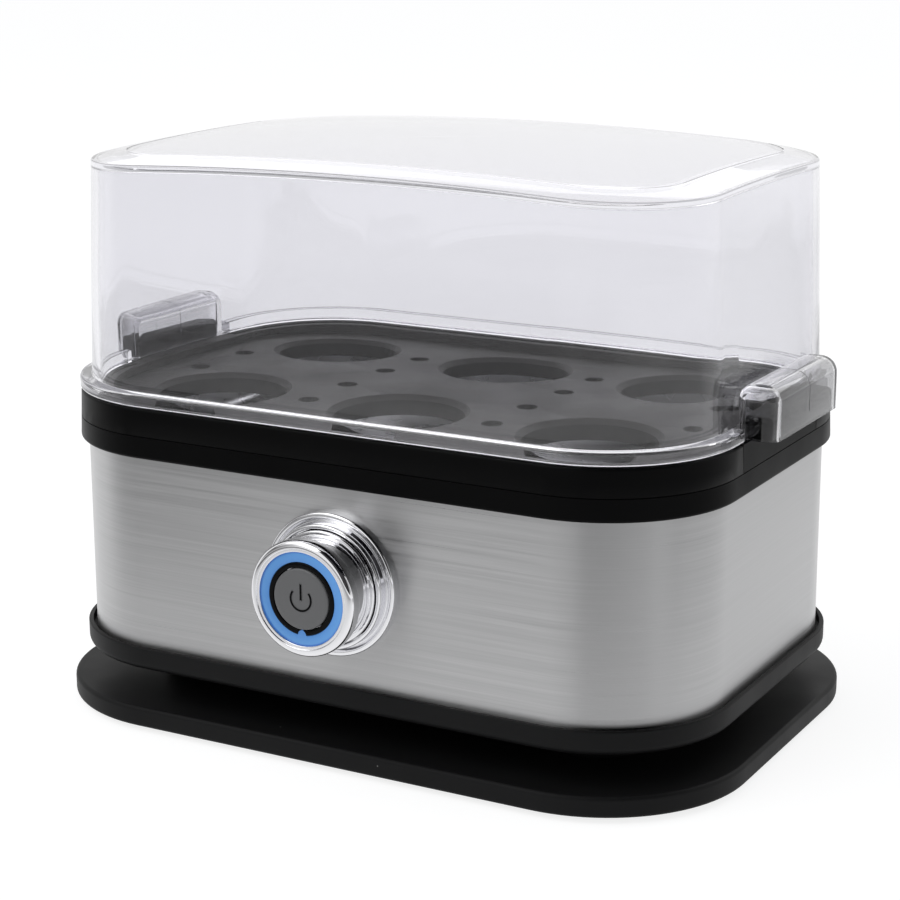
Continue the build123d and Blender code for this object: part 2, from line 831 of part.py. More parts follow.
def terminal_block():
    """Mains terminal block on the housing's floor, with wire entries on both long sides."""
    half_length = terminal_length / 2
    half_width = terminal_width / 2
    top = floor_top + terminal_height
    case = block(-half_length, half_length, -half_width, half_width, floor_top, top)
    pitch = terminal_length / terminal_slots
    for x in column_places(pitch, terminal_slots):
        entry = Pos(x, 0, floor_top + terminal_slot_height) * Rot(90, 0, 0)
        case -= entry * Cylinder(terminal_slot / 2, terminal_width)
        case -= rod(terminal_screw_hole, top - terminal_screw_depth, top, x)
    return Pos(terminal_x, terminal_y, 0) * case


def cord_gland():
    """Rubber gland in the neck's back wall, with a lip on each side of it."""
    half = neck_wall / 2
    lip = gland_diameter / 2
    core = gland_core / 2
    bore = gland_bore / 2
    points = [
        (bore, -half - gland_lip),
        (lip, -half - gland_lip),
        (lip, -half),
        (core, -half),
        (core, half),
        (lip, half),
        (lip, half + gland_lip),
        (bore, half + gland_lip),
    ]
    return gland_place() * turned(points)


pieces = {
    "base_plate": base_plate,
    "rubber_feet": rubber_feet,
    "base_screws": base_screws,
    "inner_housing": inner_housing,
    "collar_screws": collar_screws,
    "steel_sleeve": steel_sleeve,
    "lower_collar": lower_collar,
    "upper_collar": upper_collar,
    "water_basin": water_basin,
    "basin_seal": basin_seal,
    "spreader_plate": spreader_plate,
    "heating_element": heating_element,
    "thermostat": thermostat,
    "thermal_fuse": thermal_fuse,
    "egg_tray": egg_tray,
    "lid": lid,
    "knob_bezel": knob_bezel,
    "bezel_nut": bezel_nut,
    "knob_body": knob_body,
    "light_ring": light_ring,
    "knob_inner_ring": knob_inner_ring,
    "power_button": power_button,
    "switch_plunger": switch_plunger,
    "push_switch": push_switch,
    "turn_sensor": turn_sensor,
    "control_board": control_board,
    "board_screws": board_screws,
    "relay": relay,
    "buzzer": buzzer,
    "terminal_block": terminal_block,
    "cord_gland": cord_gland,
}

os.makedirs("parts", exist_ok=True)
to_footprint_middle = Pos(0, (knob_proud - plate_grow) / 2, 0)
for name, build in pieces.items():
    export_step(to_footprint_middle * build(), f"parts/{name}.step")
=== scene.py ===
import math

import bmesh
import bpy
from mathutils import Matrix, Vector


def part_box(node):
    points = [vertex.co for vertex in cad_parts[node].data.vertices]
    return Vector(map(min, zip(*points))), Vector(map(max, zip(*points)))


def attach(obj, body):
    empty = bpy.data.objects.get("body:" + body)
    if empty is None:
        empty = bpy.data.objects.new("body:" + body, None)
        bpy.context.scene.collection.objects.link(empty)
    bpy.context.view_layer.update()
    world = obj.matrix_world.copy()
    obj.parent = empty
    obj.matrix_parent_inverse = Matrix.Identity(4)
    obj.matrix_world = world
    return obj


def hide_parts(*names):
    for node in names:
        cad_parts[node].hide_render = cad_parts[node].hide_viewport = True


# Looks of an electric egg cooker, in metres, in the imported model's frame.
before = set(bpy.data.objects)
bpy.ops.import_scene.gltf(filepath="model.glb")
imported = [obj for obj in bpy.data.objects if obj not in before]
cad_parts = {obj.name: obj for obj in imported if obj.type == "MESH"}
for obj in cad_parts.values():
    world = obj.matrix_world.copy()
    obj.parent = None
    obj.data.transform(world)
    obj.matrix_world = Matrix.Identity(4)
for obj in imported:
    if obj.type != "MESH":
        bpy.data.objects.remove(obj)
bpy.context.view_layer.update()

# Body outline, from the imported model
sleeve_low, sleeve_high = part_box("steel_sleeve")
half_length = sleeve_high.x
half_depth = (sleeve_high.y - sleeve_low.y) / 2
middle_y = (sleeve_high.y + sleeve_low.y) / 2
front_face = sleeve_low.y
corner_radius = 0.036
corner_steps = 28
side_steps = 14

# Clear lid
lid_low, lid_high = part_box("lid")
lid_wall = 0.002
lid_foot_inset = 0.0013
lid_draft = 0.0024
lid_crown_radius = 1.2
lid_bevel_width = 0.01
lid_bevel_drop = 0.0012
lid_edge_round = 0.0006
lid_crease_width = 0.0005
lid_crease_depth = 0.0002
lid_foot_round = 0.0004
inner_wall_levels = (0.13, 0.1, 0.096)
outer_wall_levels = (0.12, 0.14)
flange_grow = 0.002
flange_thickness = 0.0036
flange_round = 0.0008
foot_fillet = 0.0002
panel_length = 0.0544
handle_length = 0.048
handle_height = 0.0146
handle_wall = 0.0018
handle_round = 0.0045
handle_end_round = 0.0036
handle_least_round = 0.0004
mould_line_width = 0.0003
mould_line_depth = 0.00009

# Knob and button
knob_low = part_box("knob_body")[0]
bezel_low, bezel_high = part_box("knob_bezel")
knob_level = (bezel_low.z + bezel_high.z) / 2
face_radius = 0.013
light_ring_inner = 0.0102
dark_ring_outer = 0.0101
button_hole = 0.0087
pointer_radius = 0.0013
pointer_gap = 0.00005
pointer_rise = -0.01
turn_steps = 144
rod_steps = 48

# Steel wrap
sleeve_wall = 0.0008
knob_hole = 0.0108

# Points nearer than this are one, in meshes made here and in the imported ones
same_point = 1e-7
packed_point = 2e-6

# Photograph's camera
camera_place = Vector((0.3155, -0.5681, 0.2453))
camera_azimuth = math.radians(28.952)
camera_elevation = math.radians(14.697)
camera_roll = math.radians(-0.194)
camera_lens = 92.385

# Height of the object's middle, which lamps and cards are set round
middle_height = 0.08


# Geometry helpers
def link(name, data):
    """Put a mesh, curve, lamp or camera in the scene as an object at the origin."""
    piece = bpy.data.objects.new(name, data)
    bpy.context.scene.collection.objects.link(piece)
    return piece


def plain_mesh(name, made, turn_outwards=True):
    """Mesh from edited geometry, with its faces turned outwards unless they already are."""
    if turn_outwards:
        bmesh.ops.recalc_face_normals(made, faces=made.faces)
    mesh = bpy.data.meshes.new(name)
    made.to_mesh(mesh)
    made.free()
    return mesh


def smooth(mesh, angle=30):
    """Smooth shading with edges sharper than the angle kept."""
    mesh.shade_smooth()
    mesh.set_sharp_from_angle(angle=math.radians(angle))
    return mesh


def dress(piece, body, slot, *materials):
    """Give a piece its finishes and let it ride on its body."""
    piece.data.materials.clear()
    for material in materials:
        piece.data.materials.append(material)
    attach(piece, body)
    return piece


def arc(centre, radius, start, end, steps):
    """Points along an arc, its angles in degrees."""
    points = []
    for i in range(steps + 1):
        angle = math.radians(start + (end - start) * i / steps)
        points.append((centre[0] + radius * math.cos(angle), centre[1] + radius * math.sin(angle)))
    return points


def rounded(points, steps, closed=True):
    """Outline whose corners, given as x, y and radius, are rounded by arcs."""
    made = []
    count = len(points)
    for i, (x, y, radius) in enumerate(points):
        here = Vector((x, y))
        if radius == 0 or (not closed and i in (0, count - 1)):
            made.append((x, y))
            continue
        before = Vector(points[i - 1][:2]) - here
        after = Vector(points[(i + 1) % count][:2]) - here
        half = before.angle(after) / 2
        reach = radius / math.tan(half)
        middle = here + (before.normalized() + after.normalized()).normalized() * (radius / math.sin(half))
        first = here + before.normalized() * reach - middle
        last = here + after.normalized() * reach - middle
        turn = first.angle_signed(last)
        for step in range(steps + 1):
            at = middle + Matrix.Rotation(-turn * step / steps, 2) @ first
            made.append((at.x, at.y))
    return made


def body_outline(grow):
    """Plan points of the body's outline, grown by so much, corner by corner."""
    radius = corner_radius + grow
    x = half_length - corner_radius
    y = half_depth - corner_radius
    corners = []
    for number, (sx, sy) in enumerate(((1, 1), (-1, 1), (-1, -1), (1, -1))):
        centre = (sx * x, middle_y + sy * y)
        corners.append(arc(centre, radius, 90 * number, 90 * (number + 1), corner_steps))
    points = []
    for corner, after in zip(corners, corners[1:] + corners[:1]):
        start, end = Vector(corner[-1]), Vector(after[0])
        points += corner
        points += [tuple(start.lerp(end, step / side_steps)) for step in range(1, side_steps)]
    return points


def stacked(name, rings):
    """Closed mesh through rings, given as plan points and their height, with a fan at each end."""
    made = bmesh.new()
    loops = []
    for outline, height in rings:
        loop = []
        for x, y in outline:
            z = height(x, y) if callable(height) else height
            loop.append(made.verts.new((x, y, z)))
        loops.append(loop)
    for below, above in zip(loops, loops[1:]):
        for i in range(len(below)):
            j = (i + 1) % len(below)
            made.faces.new((below[i], below[j], above[j], above[i]))
    for loop, flip in ((loops[0], True), (loops[-1], False)):
        centre = sum((v.co for v in loop), Vector()) / len(loop)
        hub = made.verts.new(centre)
        for i in range(len(loop)):
            pair = (loop[i], loop[(i + 1) % len(loop)])
            made.faces.new((*reversed(pair), hub) if flip else (*pair, hub))
    bmesh.ops.remove_doubles(made, verts=made.verts, dist=same_point)
    return plain_mesh(name, made)


def turned(name, profile, materials=None):
    """Ring turned about the knob's axis from its section, as radius and distance out of the front."""
    made = bmesh.new()
    loops = []
    for step in range(turn_steps):
        angle = 2 * math.pi * step / turn_steps
        loop = []
        for radius, out in profile:
            x = radius * math.sin(angle)
            z = knob_level + radius * math.cos(angle)
            loop.append(made.verts.new((x, front_face - out, z)))
        loops.append(loop)
    for step in range(turn_steps):
        one, two = loops[step], loops[(step + 1) % turn_steps]
        for i in range(len(profile)):
            j = (i + 1) % len(profile)
            face = made.faces.new((one[i], one[j], two[j], two[i]))
            if materials:
                face.material_index = materials(profile[i], profile[j])
    bmesh.ops.remove_doubles(made, verts=made.verts, dist=same_point)
    return plain_mesh(name, made)


def combined(name, base, add=(), cut=()):
    """A mesh with other closed meshes joined to it and cut from it."""
    piece = link(name, base)
    tools = []
    for operation, meshes in (("UNION", add), ("DIFFERENCE", cut)):
        for mesh in meshes:
            tool = link(name + "_tool", mesh)
            modifier = piece.modifiers.new(operation.lower(), "BOOLEAN")
            modifier.object = tool
            modifier.operation = operation
            modifier.solver = "EXACT"
            tools.append(tool)
    evaluated = piece.evaluated_get(bpy.context.evaluated_depsgraph_get())
    mesh = bpy.data.meshes.new_from_object(evaluated)
    for one in (piece, *tools):
        bpy.data.objects.remove(one)
    return mesh


def refined(node, name, bevel):
    """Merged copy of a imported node, with its sharp edges eased."""
    made = bmesh.new()
    made.from_mesh(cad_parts[node].data)
    bmesh.ops.remove_doubles(made, verts=made.verts, dist=packed_point)
    piece = link(name, smooth(plain_mesh(name, made, turn_outwards=False)))
    sharp_edge = 40
    if bevel:
        ease = piece.modifiers.new("eased edges", "BEVEL")
        ease.width = bevel
        ease.segments = 2
        ease.limit_method = "ANGLE"
        ease.angle_limit = math.radians(sharp_edge)
        ease.harden_normals = True
        ease.use_clamp_overlap = True
    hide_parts(node)
    return piece


# Node helpers
def add_node(tree, kind, inputs=None, **settings):
    """Add a node, set its properties, and link or set its inputs."""
    node = tree.nodes.new(kind)
    for name, value in settings.items():
        setattr(node, name, value)
    for name, value in (inputs or {}).items():
        if isinstance(value, bpy.types.NodeSocket):
            tree.links.new(value, node.inputs[name])
        else:
            node.inputs[name].default_value = value
    return node


def node_tree(name, inputs):
    """Empty node tree with named inputs, each given as its kind and value."""
    tree = bpy.data.node_groups.new(name, "GeometryNodeTree")
    tree.interface.new_socket("Geometry", in_out="INPUT", socket_type="NodeSocketGeometry")
    for label, (kind, value) in inputs.items():
        socket = tree.interface.new_socket(label, in_out="INPUT", socket_type=f"NodeSocket{kind}")
        if value is not None:
            socket.default_value = value
    tree.interface.new_socket("Geometry", in_out="OUTPUT", socket_type="NodeSocketGeometry")
    return tree, tree.nodes.new("NodeGroupInput")


def finish_tree(tree, given, shape):
    """End a tree in Realize Instances and Set Material."""
    realize = add_node(tree, "GeometryNodeRealizeInstances", {"Geometry": shape})
    coat = add_node(tree, "GeometryNodeSetMaterial", {
        "Geometry": realize.outputs["Geometry"],
        "Material": given.outputs["Finish"],
    })
    add_node(tree, "NodeGroupOutput", {"Geometry": coat.outputs["Geometry"]})


def made_by(tree, name, values):
    """Result of a node tree as a plain mesh, with some of its inputs set."""
    carrier = link(name, bpy.data.meshes.new(name))
    modifier = carrier.modifiers.new(tree.name, "NODES")
    modifier.node_group = tree
    for socket in tree.interface.items_tree:
        if socket.name in values:
            modifier[socket.identifier] = values[socket.name]
    evaluated = carrier.evaluated_get(bpy.context.evaluated_depsgraph_get())
    mesh = bpy.data.meshes.new_from_object(evaluated)
    bpy.data.objects.remove(carrier)
    return mesh


def moulding_tree():
    """Tree that carries a closed profile round a rectangle with round corners."""
    tree, given = node_tree("moulding_round_body", {
        "Length": ("Float", 2 * half_length),
        "Depth": ("Float", 2 * half_depth),
        "Corner Radius": ("Float", corner_radius),
        "Corner Steps": ("Int", corner_steps),
        "Middle": ("Vector", (0, middle_y, 0)),
        "Profile": ("Object", None),
        "Finish": ("Material", None),
    })
    path = add_node(tree, "GeometryNodeCurvePrimitiveQuadrilateral", {
        "Width": given.outputs["Length"],
        "Height": given.outputs["Depth"],
    })
    corners = add_node(tree, "GeometryNodeFilletCurve", {
        "Curve": path.outputs["Curve"],
        "Radius": given.outputs["Corner Radius"],
        "Count": given.outputs["Corner Steps"],
    }, mode="POLY")
    section = add_node(tree, "GeometryNodeObjectInfo", {"Object": given.outputs["Profile"]})
    carry = add_node(tree, "GeometryNodeCurveToMesh", {
        "Curve": corners.outputs["Curve"],
        "Profile Curve": section.outputs["Geometry"],
    })
    place = add_node(tree, "GeometryNodeTransform", {
        "Geometry": carry.outputs["Mesh"],
        "Translation": given.outputs["Middle"],
    })
    finish_tree(tree, given, place.outputs["Geometry"])
    return tree


def profile_curve(points):
    """Closed curve through a section's points, given as distance out of the outline and height."""
    curve = bpy.data.curves.new("section", "CURVE")
    line = curve.splines.new("POLY")
    line.points.add(len(points) - 1)
    for point, (out, height) in zip(line.points, points):
        point.co = (out, -height, 0, 1)
    line.use_cyclic_u = True
    return link("section", curve)


def moulding(name, points, material):
    """Moulding that follows the body's outline."""
    section = profile_curve(points)
    mesh = made_by(round_body, name, {"Profile": section, "Finish": material})
    bpy.data.objects.remove(section)
    fixed = bmesh.new()
    fixed.from_mesh(mesh)
    bmesh.ops.recalc_face_normals(fixed, faces=fixed.faces)
    fixed.to_mesh(mesh)
    fixed.free()
    return smooth(mesh)


round_body = moulding_tree()


# Finishes
def toned(color, share):
    """Colour made darker or lighter, up to white."""
    return [min(1, c * share) for c in color]


class Finish:
    """A material in the making: its nodes and its main shader."""

    def __init__(self, name, color, roughness, metallic=0.0):
        self.material = bpy.data.materials.new(name)
        self.material.use_nodes = True
        self.tree = self.material.node_tree
        self.shader = self.tree.nodes["Principled BSDF"]
        self.shader.inputs["Base Color"].default_value = (*color, 1)
        self.shader.inputs["Roughness"].default_value = roughness
        self.shader.inputs["Metallic"].default_value = metallic
        self.place = self.tree.nodes.new("ShaderNodeTexCoord").outputs["Object"]

    def set(self, **values):
        """Set the shader's own sockets, named with underscores for spaces."""
        for name, value in values.items():
            self.shader.inputs[name.replace("_", " ")].default_value = value

    def add(self, kind, inputs=None, **settings):
        """Add a node to the material."""
        return add_node(self.tree, kind, inputs, **settings)

    def maths(self, operation, *values):
        """Result of a sum, product or comparison."""
        return self.add("ShaderNodeMath", dict(enumerate(values)), operation=operation).outputs[0]

    def feed(self, name, socket):
        """Link a node's result to one of the shader's own sockets."""
        self.tree.links.new(socket, self.shader.inputs[name])

    def noise(self, scale, detail, roughness=0.5):
        """Noise on object coordinates, with so many waves to the metre along each axis."""
        waves = self.add("ShaderNodeMapping", {"Vector": self.place, "Scale": scale})
        return self.add("ShaderNodeTexNoise", {
            "Vector": waves.outputs["Vector"],
            "Scale": 1.0,
            "Detail": detail,
            "Roughness": roughness,
        }).outputs["Fac"]

    def spread(self, value, low, high, start=0.3, end=0.7):
        """Map a value's middle range to another range."""
        return self.add("ShaderNodeMapRange", {
            "Value": value,
            "From Min": start,
            "From Max": end,
            "To Min": low,
            "To Max": high,
        }).outputs["Result"]

    def blend(self, share, one, two):
        """Colour between two colours, by a share."""
        node = self.add("ShaderNodeMix", {0: share}, data_type="RGBA")
        colours = [s for s in node.inputs if s.type == "RGBA"]
        for socket, value in zip(colours, (one, two)):
            if isinstance(value, bpy.types.NodeSocket):
                self.tree.links.new(value, socket)
            else:
                socket.default_value = (*value, 1)
        return next(s for s in node.outputs if s.type == "RGBA")

    def bump(self, height, depth, strength):
        """Raise the surface by a height in metres."""
        node = self.add("ShaderNodeBump", {"Height": height, "Distance": depth, "Strength": strength})
        self.feed("Normal", node.outputs["Normal"])

    def lines_round(self, axis):
        """Turn the shader's long highlights round an axis."""
        turn = self.add("ShaderNodeTangent", direction_type="RADIAL", axis=axis)
        self.feed("Tangent", turn.outputs["Tangent"])


def moulded(name, color, roughness, grain=1400.0, depth=0.00002, specks=0.0, shine=0.5):
    """Moulded plastic: fine spark grain, slow change of sheen, and a few specks of dust."""
    finish = Finish(name, color, roughness)
    finish.set(Specular_IOR_Level=shine)
    slow = finish.noise((40, 40, 40), 3)
    finish.feed("Roughness", finish.spread(slow, roughness - 0.05, roughness + 0.06))
    finish.bump(finish.noise((grain,) * 3, 2), depth, 0.5)
    shade = finish.blend(slow, toned(color, 0.88), toned(color, 1.12))
    if specks:
        cells = finish.add("ShaderNodeTexVoronoi", {"Vector": finish.place, "Scale": 170.0})
        near = finish.spread(cells.outputs["Distance"], 1.0, 0.0, 0.02, 0.045)
        pick = finish.add("ShaderNodeSeparateColor", {"Color": cells.outputs["Color"]})
        few = finish.maths("GREATER_THAN", pick.outputs["Red"], 1 - specks)
        dust = finish.maths("MULTIPLY", near, few)
        shade = finish.blend(dust, shade, (0.25, 0.25, 0.24))
    finish.feed("Base Color", shade)
    return finish.material


def brushed(name, color, roughness, along):
    """Steel brushed along the body: fine level lines, longer streaks, and a slow cloud of sheen."""
    depth = 0.000004
    finish = Finish(name, color, roughness, 1.0)
    finish.set(Anisotropic=0.8, Anisotropic_Rotation=0.25)
    fine = finish.noise((along, along, 4200), 3, 0.6)
    coarse = finish.noise((along * 0.4, along * 0.4, 1100), 2)
    cloud = finish.noise((16, 16, 4), 2)
    lines = finish.maths("MULTIPLY", finish.maths("ADD", fine, coarse), 0.5)
    finish.feed("Roughness", finish.spread(lines, roughness - 0.05, roughness + 0.08))
    tint = finish.blend(finish.spread(lines, 0, 1), toned(color, 0.86), toned(color, 1.1))
    shade = finish.blend(finish.spread(cloud, 0.0, 0.35), tint, toned(color, 0.85))
    finish.feed("Base Color", shade)
    finish.bump(fine, depth, 0.35)
    finish.lines_round("Z")
    return finish.material


def polished(name, color, roughness):
    """Polished metal with faint hazing and hairlines."""
    depth = 0.0000012
    finish = Finish(name, color, roughness, 1.0)
    haze = finish.noise((160, 160, 160), 4)
    finish.feed("Roughness", finish.spread(haze, roughness * 0.6, roughness * 1.8))
    finish.bump(finish.noise((260, 260, 260), 1), depth, 0.04)
    finish.feed("Base Color", finish.blend(haze, toned(color, 0.97), toned(color, 1.02)))
    return finish.material


def spun(name, color, roughness, axis):
    """Metal finished on a lathe, with lines round its axis."""
    finish = Finish(name, color, roughness, 1.0)
    finish.set(Anisotropic=0.9, Anisotropic_Rotation=0.25)
    across = [60.0, 60.0, 60.0]
    across["XYZ".index(axis)] = 3500.0
    lines = finish.noise(tuple(across), 3)
    finish.feed("Roughness", finish.spread(lines, roughness - 0.05, roughness + 0.07))
    finish.feed("Base Color", finish.blend(lines, toned(color, 0.85), color))
    finish.lines_round(axis)
    return finish.material


def cast(name, color, roughness, metallic=0.0):
    """Plain metal, rubber or lacquer with a fine grain and uneven sheen."""
    grain = 900.0
    depth = 0.00003
    finish = Finish(name, color, roughness, metallic)
    slow = finish.noise((120, 120, 120), 4)
    finish.feed("Roughness", finish.spread(slow, roughness - 0.08, roughness + 0.08))
    finish.feed("Base Color", finish.blend(slow, toned(color, 0.8), toned(color, 1.1)))
    finish.bump(finish.noise((grain,) * 3, 2), depth, 0.4)
    return finish.material


def clear_moulding():
    """Clear plastic, faintly lavender, with painted shade: a darker grey tint over the handles and a dark
    tint on rays caught inside a wall. Lamp light and rays caught inside a wall pass straight through.
    """
    tint = (0.86, 0.857, 0.884)
    handle_shade_tint = (0.62, 0.62, 0.63)
    light_tint = (0.92, 0.92, 0.932)
    caught_shade_tint = (0.58, 0.58, 0.6)
    handle_shade_start = half_length + 0.0015
    handle_shade_full = half_length + 0.0035
    caught_after = 2.5
    flow_depth = 0.0004
    finish = Finish("clear plastic", tint, 0.0)
    finish.set(IOR=1.49, Transmission_Weight=1.0)
    split = finish.add("ShaderNodeSeparateXYZ", {"Vector": finish.place})
    out = finish.maths("ABSOLUTE", split.outputs["X"])
    # Painted shade: the glass is tinted darker grey over the handles, standing in for the shade of their
    # extra walls and the dark grips behind them.
    in_handle_shade = finish.spread(out, 0, 1, handle_shade_start, handle_shade_full)
    finish.feed("Base Color", finish.blend(in_handle_shade, tint, handle_shade_tint))
    flow = finish.noise((14, 14, 3), 2)
    finish.feed("Roughness", finish.spread(flow, 0.0, 0.03))
    finish.bump(flow, flow_depth, 0.05)
    ray = finish.add("ShaderNodeLightPath")
    light = finish.maths("MAXIMUM", ray.outputs["Is Shadow Ray"], ray.outputs["Is Diffuse Ray"])
    caught = finish.maths("GREATER_THAN", ray.outputs["Glossy Depth"], caught_after)
    passes = finish.maths("MAXIMUM", light, caught)
    # Painted shade: rays caught inside a wall leave through it tinted dark grey, which draws thin dark lines
    # along the lid's edges.
    through_tint_and_shade = finish.blend(caught, light_tint, caught_shade_tint)
    through = finish.add("ShaderNodeBsdfTransparent", {"Color": through_tint_and_shade})
    mix = finish.add("ShaderNodeMixShader", {
        0: passes,
        1: finish.shader.outputs["BSDF"],
        2: through.outputs["BSDF"],
    })
    finish.tree.links.new(mix.outputs["Shader"], finish.tree.nodes["Material Output"].inputs["Surface"])
    return finish.material


def lit_plastic():
    """Blue light ring: translucent, lit from behind, brighter towards its outer edge, with painted shade
    along its outer rim and a painted highlight that makes its right side brighter than its left.
    """
    glow_start = 0.0098
    shaded_edge_start = 0.0124
    shaded_edge_full = 0.0128
    finish = Finish("blue light", (0.08, 0.24, 0.55), 0.28)
    place = finish.add("ShaderNodeMapping", {"Vector": finish.place, "Location": (0, 0, -knob_level)})
    flat = finish.add("ShaderNodeVectorMath", {
        0: place.outputs["Vector"],
        1: (1, 0, 1),
    }, operation="MULTIPLY")
    reach = finish.add("ShaderNodeVectorMath", {0: flat.outputs["Vector"]}, operation="LENGTH")
    outward = finish.spread(reach.outputs["Value"], 0, 1, glow_start, shaded_edge_full)
    glow = finish.blend(outward, (0.045, 0.15, 0.4), (0.1, 0.27, 0.52))
    # Painted shade: a deep blue band along the ring's outer rim, where it meets the knob's face.
    edge = finish.spread(reach.outputs["Value"], 0, 1, shaded_edge_start, shaded_edge_full)
    finish.feed("Emission Color", finish.blend(edge, glow, (0.01, 0.06, 0.36)))
    # Painted highlight and shade: the glow is made stronger towards the right of the ring and weaker towards
    # the left, as the lighting falls.
    split = finish.add("ShaderNodeSeparateXYZ", {"Vector": finish.place})
    finish.feed("Emission Strength", finish.spread(split.outputs["X"], 0.4, 0.62, -face_radius, face_radius))
    return finish.material


black_band = moulded("black band plastic", (0.003, 0.003, 0.0031), 0.38, specks=0.04, shine=0.05)
black_base = moulded("black base plastic", (0.0075, 0.0075, 0.0078), 0.5, specks=0.08, shine=0.12)
tray_plastic = moulded("tray plastic", (0.018, 0.0165, 0.0155), 0.42, shine=0.14)
steel = brushed("brushed steel", (0.45, 0.45, 0.454), 0.32, 24)
dish_steel = cast("satin steel", (0.6, 0.6, 0.61), 0.3, 1.0)
clear = clear_moulding()
chrome = polished("chrome", (0.8, 0.8, 0.82), 0.025)
knob_side = spun("spun chrome", (0.62, 0.62, 0.63), 0.2, "Y")
blue_light = lit_plastic()
button_grey = moulded("button plastic", (0.15, 0.15, 0.152), 0.38, 2500)
gloss_black = moulded("gloss black", (0.003, 0.003, 0.0035), 0.14, 600, 0.000004, shine=0.08)
rubber = cast("black rubber", (0.03, 0.03, 0.03), 0.75)
silicone = cast("grey silicone", (0.5, 0.5, 0.5), 0.55)
aluminium = cast("mill aluminium", (0.72, 0.73, 0.75), 0.38, 1.0)
brass = cast("turned brass", (0.72, 0.53, 0.24), 0.3, 1.0)
zinc = cast("zinc plated steel", (0.55, 0.56, 0.58), 0.32, 1.0)
sheath = cast("heat darkened steel", (0.3, 0.27, 0.24), 0.42, 1.0)
board_green = cast("lacquered board", (0.02, 0.17, 0.07), 0.35)
part_blue = cast("blue casing", (0.06, 0.13, 0.36), 0.45)
part_black = cast("black casing", (0.02, 0.02, 0.02), 0.45)
part_white = cast("white casing", (0.72, 0.71, 0.66), 0.5)


# Clear lid
def crown(inset):
    """Height of the lid's crown, moved down by so much, over a plan point."""
    top = lid_high.z - inset
    return lambda x, y: top - (x * x + (y - middle_y) ** 2) / (2 * lid_crown_radius)


def wall_grow(height, inset):
    """How far the lid's wall stands out from the body's outline at a height."""
    full = lid_high.z + lid_bevel_drop - lid_low.z
    return -lid_foot_inset - lid_draft * (height - lid_low.z) / full - inset


def lid_top_rings(inset):
    """Rings from the lid's wall over the bevel to the middle of the crown."""
    round_steps = 5
    below_edge = (0.0012, 0.0006)
    bevel_shares = (0.12, 0.5, 0.9, 0.97)
    crown_scales = (0.99, 0.96, 0.85, 0.7, 0.55, 0.4, 0.27, 0.15, 0.06)
    over = crown(inset)
    edge = wall_grow(lid_high.z - inset - lid_bevel_drop, inset)
    slope = lid_bevel_drop / lid_bevel_width
    rings = []
    for back in below_edge:
        rings.append((body_outline(edge), lambda x, y, b=back: over(x, y) - lid_bevel_drop - b))
    for part in range(round_steps + 1):
        angle = math.radians(90 * part / round_steps)
        back = lid_edge_round * (1 - math.sin(angle))
        aside = lid_edge_round * (1 - math.cos(angle))
        rings.append((body_outline(edge - aside), lambda x, y, b=back: over(x, y) - lid_bevel_drop - b))
    for share in bevel_shares:
        across = lid_edge_round + (lid_bevel_width - lid_edge_round) * share
        drop = lid_bevel_drop - slope * across
        rings.append((body_outline(edge - across), lambda x, y, d=drop: over(x, y) - d))
    rings.append((body_outline(edge - lid_bevel_width), over))
    if inset == 0:
        crease = edge - lid_bevel_width - lid_crease_width / 2
        rings.append((body_outline(crease), lambda x, y: over(x, y) - lid_crease_depth))
        rings.append((body_outline(crease - lid_crease_width / 2), over))
    inner = body_outline(edge - lid_bevel_width - lid_crease_width)
    for scale in crown_scales:
        ring = [(x * scale, middle_y + (y - middle_y) * scale) for x, y in inner]
        rings.append((ring, over))
    return rings


def lid_shell():
    """Shell and flange of the lid as one closed form: inner crown, foot, outer crown."""
    low = lid_low.z
    top = low + flange_thickness
    first, second = outer_wall_levels
    inner = list(reversed(lid_top_rings(lid_wall)))
    outer = lid_top_rings(0)
    foot = []
    for height in inner_wall_levels:
        foot.append((body_outline(wall_grow(height, lid_wall)), height))
    for out, height in rounded([
        (wall_grow(low, lid_wall), low, lid_foot_round),
        (flange_grow, low, flange_round),
        (flange_grow, top, flange_round),
        (wall_grow(top, 0), top, foot_fillet),
        (wall_grow(first, 0), first, 0),
    ], 5, closed=False):
        foot.append((body_outline(out), height))
    foot.append((body_outline(wall_grow(second, 0)), second))
    return stacked("lid_shell", [*inner, *foot, *outer])


def arch(inset, low):
    """Section of a lid handle, as x and height, moved inwards by so much."""
    into_wall = lid_wall / 2 if inset < handle_wall else handle_wall
    inner = half_length - lid_foot_inset + (inset - into_wall)
    outer = lid_high.x - inset
    top = lid_low.z + handle_height - inset
    round_by = max(handle_round - inset, handle_least_round)
    points = [(inner, low, 0), (inner, top, round_by), (outer, top, round_by), (outer, low, 0)]
    return rounded(points, 8)


def handle_solid(inset, low, end_round, half):
    """Closed form of the right handle, an arch run along Y with rounded ends."""
    rounds = 6
    stations = []
    for part in range(rounds + 1):
        angle = math.radians(90 * part / rounds)
        stations.append((-half + end_round * (1 - math.sin(angle)), end_round * (1 - math.cos(angle))))
    stations.reverse()
    stations += [(-y, d) for y, d in reversed(stations)]
    made = bmesh.new()
    loops = []
    for y, extra in stations:
        section = arch(inset + extra, low)
        loops.append([made.verts.new((x, middle_y + y, z)) for x, z in section])
    for one, two in zip(loops, loops[1:]):
        for i in range(len(one)):
            j = (i + 1) % len(one)
            made.faces.new((one[i], one[j], two[j], two[i]))
    made.faces.new(loops[0][::-1])
    made.faces.new(loops[-1])
    return plain_mesh("handle", made)


def mould_line():
    """Thin band over the middle of a handle, where the mould's halves meet."""
    half = mould_line_width / 2
    outside = handle_solid(-mould_line_depth, lid_low.z + flange_thickness, 0, half)
    inside = handle_solid(mould_line_depth, lid_low.z, 0, 2 * half)
    return combined("mould_line", outside, cut=[inside])


